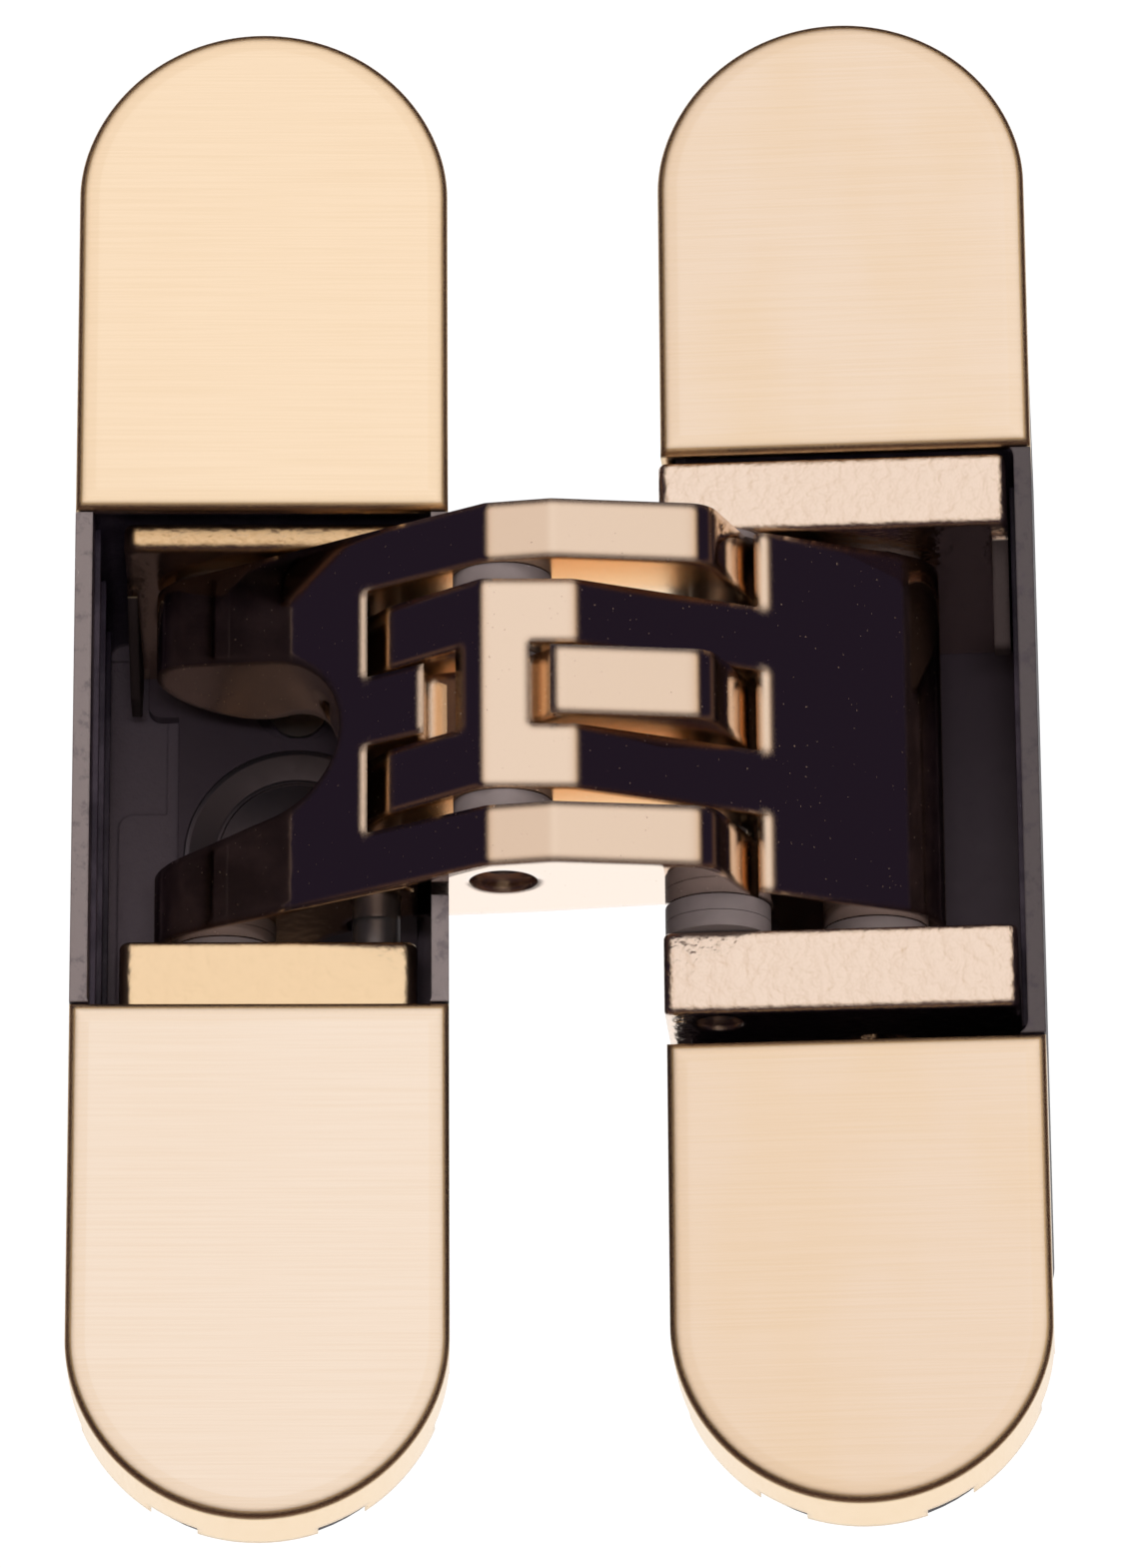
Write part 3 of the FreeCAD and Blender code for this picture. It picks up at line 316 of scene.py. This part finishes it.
def metal(name, colour, roughness, shine=0.85):
    """Plain turned or pressed metal."""
    made, shader, place = material(name)
    turning = place.noise(900.0, 2.0)
    feed(
        shader,
        Base_Color=colour,
        Metallic=shine,
        Roughness=roughness + turning * 0.15,
        Normal=bump(turning, 0.00002, 0.3, soft_edges(place, 0.00012)),
    )
    return made


dress(
    metal("plain_steel", steel_grey, 0.30),
    "frame_pivot_pin", "centre_pin", "door_pivot_pin", "frame_slide_pins", "door_slide_pins",
    "frame_clamp_screws", "door_clamp_screws",
)
dress(metal("disc_steel", disc_grey, 0.28), "frame_adjuster", "door_adjuster")
dress(metal("dark_plate", plate_grey, 0.40, 0.2), "frame_slide_plate", "door_slide_plate")


# Washers and rollers: moulded in grey bearing plastic.
# They lie between all turning faces, and the rollers run in the blocks' slots.
worn_grey = (0.18, 0.15, 0.15, 1.0)
plastic_grey = (0.27, 0.22, 0.22, 1.0)
washer_grey, shader, place = material("washer_grey")
feed(
    shader,
    Base_Color=place.noise(500.0).mix(worn_grey, plastic_grey),
    Roughness=0.5,
)
dress(
    washer_grey, "centre_washers", "centre_shims", "door_pivot_washers",
    "frame_slide_washers", "door_slide_washers", "frame_slide_rollers", "door_slide_rollers",
)


# Studio: a pale floor below, the photograph's camera, and a soft panorama.
# White stands behind the hinge, a cream card in front, and the room is dark.
camera_place = Vector((0.01210, -0.58384, -0.20557))
camera_turn = math.radians(1.01)
camera_rise = math.radians(19.175)
camera_roll = math.radians(-0.385)
photo_width = 1124.0
lens_in_pixels = 8321.56
sensor_width = 36.0

forward = Vector((
    math.sin(camera_turn) * math.cos(camera_rise),
    math.cos(camera_turn) * math.cos(camera_rise),
    math.sin(camera_rise),
))
level = Vector((math.cos(camera_turn), -math.sin(camera_turn), 0.0))
upright = level.cross(forward)
right = math.cos(camera_roll) * level + math.sin(camera_roll) * upright
up = -math.sin(camera_roll) * level + math.cos(camera_roll) * upright
camera_data = bpy.data.cameras.new("camera")
camera_data.sensor_fit = "HORIZONTAL"
camera_data.sensor_width = sensor_width
camera_data.lens = sensor_width * lens_in_pixels / photo_width
camera_data.clip_start = 0.01
camera_data.clip_end = 20.0
camera = bpy.data.objects.new("camera", camera_data)
camera.matrix_world = Matrix((
    (right.x, up.x, -forward.x, camera_place.x),
    (right.y, up.y, -forward.y, camera_place.y),
    (right.z, up.z, -forward.z, camera_place.z),
    (0.0, 0.0, 0.0, 1.0),
))
bpy.context.scene.collection.objects.link(camera)
bpy.context.scene.camera = camera

floor_drop = -0.26
floor_half = 3.0
floor_mesh = bpy.data.meshes.new("floor")
floor_mesh.from_pydata(
    [(-floor_half, -floor_half, floor_drop), (floor_half, -floor_half, floor_drop),
     (floor_half, floor_half, floor_drop), (-floor_half, floor_half, floor_drop)],
    [], [(0, 1, 2, 3)],
)
floor = bpy.data.objects.new("floor", floor_mesh)
bpy.context.scene.collection.objects.link(floor)
floor.visible_glossy = False
floor_paint, shader, floor_point = material("floor_paint")
feed(shader, Base_Color=(0.86, 0.85, 0.84, 1.0), Roughness=0.9)
floor_mesh.materials.append(floor_paint)

world = bpy.data.worlds.new("studio")
world.use_nodes = True
bpy.context.scene.world = world
tree = world.node_tree
sky = tree.nodes["Background"]
toward = Wire(tree.nodes.new("ShaderNodeTexCoord").outputs["Generated"])
depth = toward.axis(1)
dark_room = (0.016, 0.012, 0.026, 1.0)
brown_room = (0.10, 0.06, 0.045, 1.0)
white = (1.0, 1.0, 1.0, 1.0)
card_turn = math.radians(19.2)
card_place = Vector((0.02, -math.cos(card_turn), math.sin(card_turn)))
facing = toward.along(card_place)
card = facing.add("ShaderNodeValToRGB", {"stops": [
    (0.08, brown_room),
    (0.18, dark_room),
    (0.76, dark_room),
    (0.80, (0.16, 0.09, 0.05, 1.0)),
    (0.835, (0.80, 0.66, 0.50, 1.0)),
    (0.92, (0.84, 0.77, 0.72, 1.0)),
    (0.975, (0.90, 0.85, 0.81, 1.0)),
    (0.999, (0.95, 0.915, 0.89, 1.0)),
]}, {"Fac": facing})
behind = depth.ramp(0.55, 0.75)
room = behind.mix(card, white)
sky.inputs["Strength"].default_value = 1.08
seen = Wire(tree.nodes.new("ShaderNodeLightPath").outputs["Is Camera Ray"])
tree.links.new(seen.mix(room, white).socket, sky.inputs["Color"])


hinge_middle = Vector((0.02, 0.0, 0.0))


def softbox(name, stand, side, power):
    """A square soft lamp that faces the hinge and shows in no reflection."""
    data = bpy.data.lights.new(name, "AREA")
    data.shape = "SQUARE"
    data.size = side
    data.energy = power
    lamp = bpy.data.objects.new(name, data)
    lamp.location = stand
    lamp.rotation_euler = (hinge_middle - Vector(stand)).to_track_quat("-Z", "Y").to_euler()
    lamp.visible_glossy = False
    bpy.context.scene.collection.objects.link(lamp)


softbox("key_lamp", (-0.5, -0.9, 0.7), 0.5, 4.0)
softbox("fill_lamp", (0.7, -0.9, 0.0), 0.5, 2.5)
softbox("front_lamp", (0.012, -0.82, -0.29), 0.12, 6.5)

bpy.context.scene.view_settings.view_transform = "Standard"
